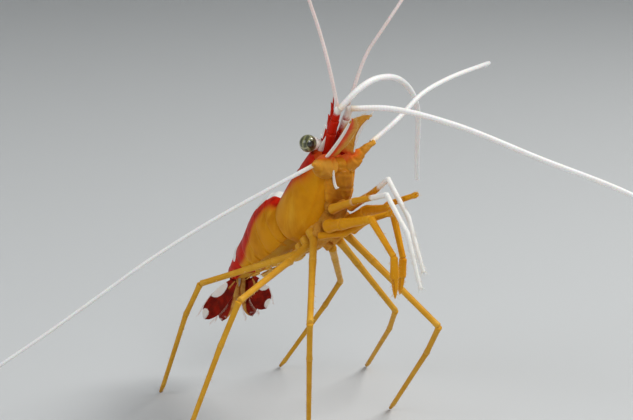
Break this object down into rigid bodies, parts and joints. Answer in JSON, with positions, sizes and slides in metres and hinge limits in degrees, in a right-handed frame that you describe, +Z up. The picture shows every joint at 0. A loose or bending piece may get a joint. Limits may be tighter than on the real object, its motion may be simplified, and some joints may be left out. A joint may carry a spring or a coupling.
{
  "type": "cleaner shrimp model",
  "caption": "Life-size still model of a striped cleaner shrimp standing head-up on its walking legs, with long white feelers spread to both sides.",
  "frame": {"origin": "on the floor plane the feet stand on, under the middle of the whole model's box, feelers included", "axes": "+X the way the head points, seen from above; +Y the animal's left; +Z up"},
  "size_m": [0.0794, 0.1252, 0.0653],
  "materials": {
    "carapace_shell": "smooth wet-looking amber shell, red-orange along the back and up the rostrum",
    "abdomen_shell": "smooth amber flanks, a red band each side of a white stripe down the back",
    "tail_fan": "dark red leaves with white spots, pale amber in the middle",
    "swimmeret": "pale amber",
    "eye": "glossy grey-green ball with a dark faceted pattern",
    "eyestalk": "white",
    "antennule_base": "red with white flecks",
    "antenna_base": "amber",
    "antennal_scale": "clear amber leaf with a white outer stripe edged in red",
    "mouthparts": "amber",
    "white_limb": "amber at the root, white from the first bend on, with fine hairs",
    "front_leg": "amber with paler claw tips",
    "walking_leg": "amber",
    "feeler_white": "white",
    "feeler_pink": "pale pink"
  },
  "bodies": {
    "root": {"carapace": "carapace_shell", "abdomen_plate_1": "abdomen_shell", "abdomen_plate_2": "abdomen_shell", "abdomen_plate_3": "abdomen_shell", "abdomen_plate_4": "abdomen_shell", "abdomen_plate_5": "abdomen_shell", "abdomen_plate_6": "abdomen_shell", "telson": "tail_fan", "tail_inner_blade_right": "tail_fan", "tail_outer_blade_right": "tail_fan", "tail_inner_blade_left": "tail_fan", "tail_outer_blade_left": "tail_fan", "swimmerets_1": "swimmeret", "swimmerets_2": "swimmeret", "swimmerets_3": "swimmeret", "swimmerets_4": "swimmeret", "swimmerets_5": "swimmeret", "eye_right": "eye", "eyestalk_right": "eyestalk", "antennule_base_right": "antennule_base", "antenna_base_right": "antenna_base", "antennal_scale_right": "antennal_scale", "eye_left": "eye", "eyestalk_left": "eyestalk", "antennule_base_left": "antennule_base", "antenna_base_left": "antenna_base", "antennal_scale_left": "antennal_scale", "mouthparts": "mouthparts", "third_maxilliped_right": "white_limb", "first_leg_right": "front_leg", "first_leg_claw_right": "front_leg", "second_leg_right": "front_leg", "third_maxilliped_left": "white_limb", "first_leg_left": "front_leg", "first_leg_claw_left": "front_leg", "second_leg_left": "front_leg", "leg_3_upper_right": "walking_leg", "leg_3_lower_right": "walking_leg", "leg_4_upper_right": "walking_leg", "leg_4_lower_right": "walking_leg", "leg_5_upper_right": "walking_leg", "leg_5_lower_right": "walking_leg", "leg_3_upper_left": "walking_leg", "leg_3_lower_left": "walking_leg", "leg_4_upper_left": "walking_leg", "leg_4_lower_left": "walking_leg", "leg_5_upper_left": "walking_leg", "leg_5_lower_left": "walking_leg", "antenna_right_1": "feeler_white", "antenna_right_2": "feeler_white", "antenna_left_1": "feeler_white", "antenna_left_2": "feeler_white", "antennule_whip_right_1": "feeler_white", "antennule_whip_right_2": "feeler_white", "antennule_whip_right_3": "feeler_white", "antennule_whip_left_1": "feeler_white", "antennule_whip_left_2": "feeler_white", "antennule_thread_right": "feeler_pink", "antennule_thread_left": "feeler_pink"}
  },
  "joints": []
}
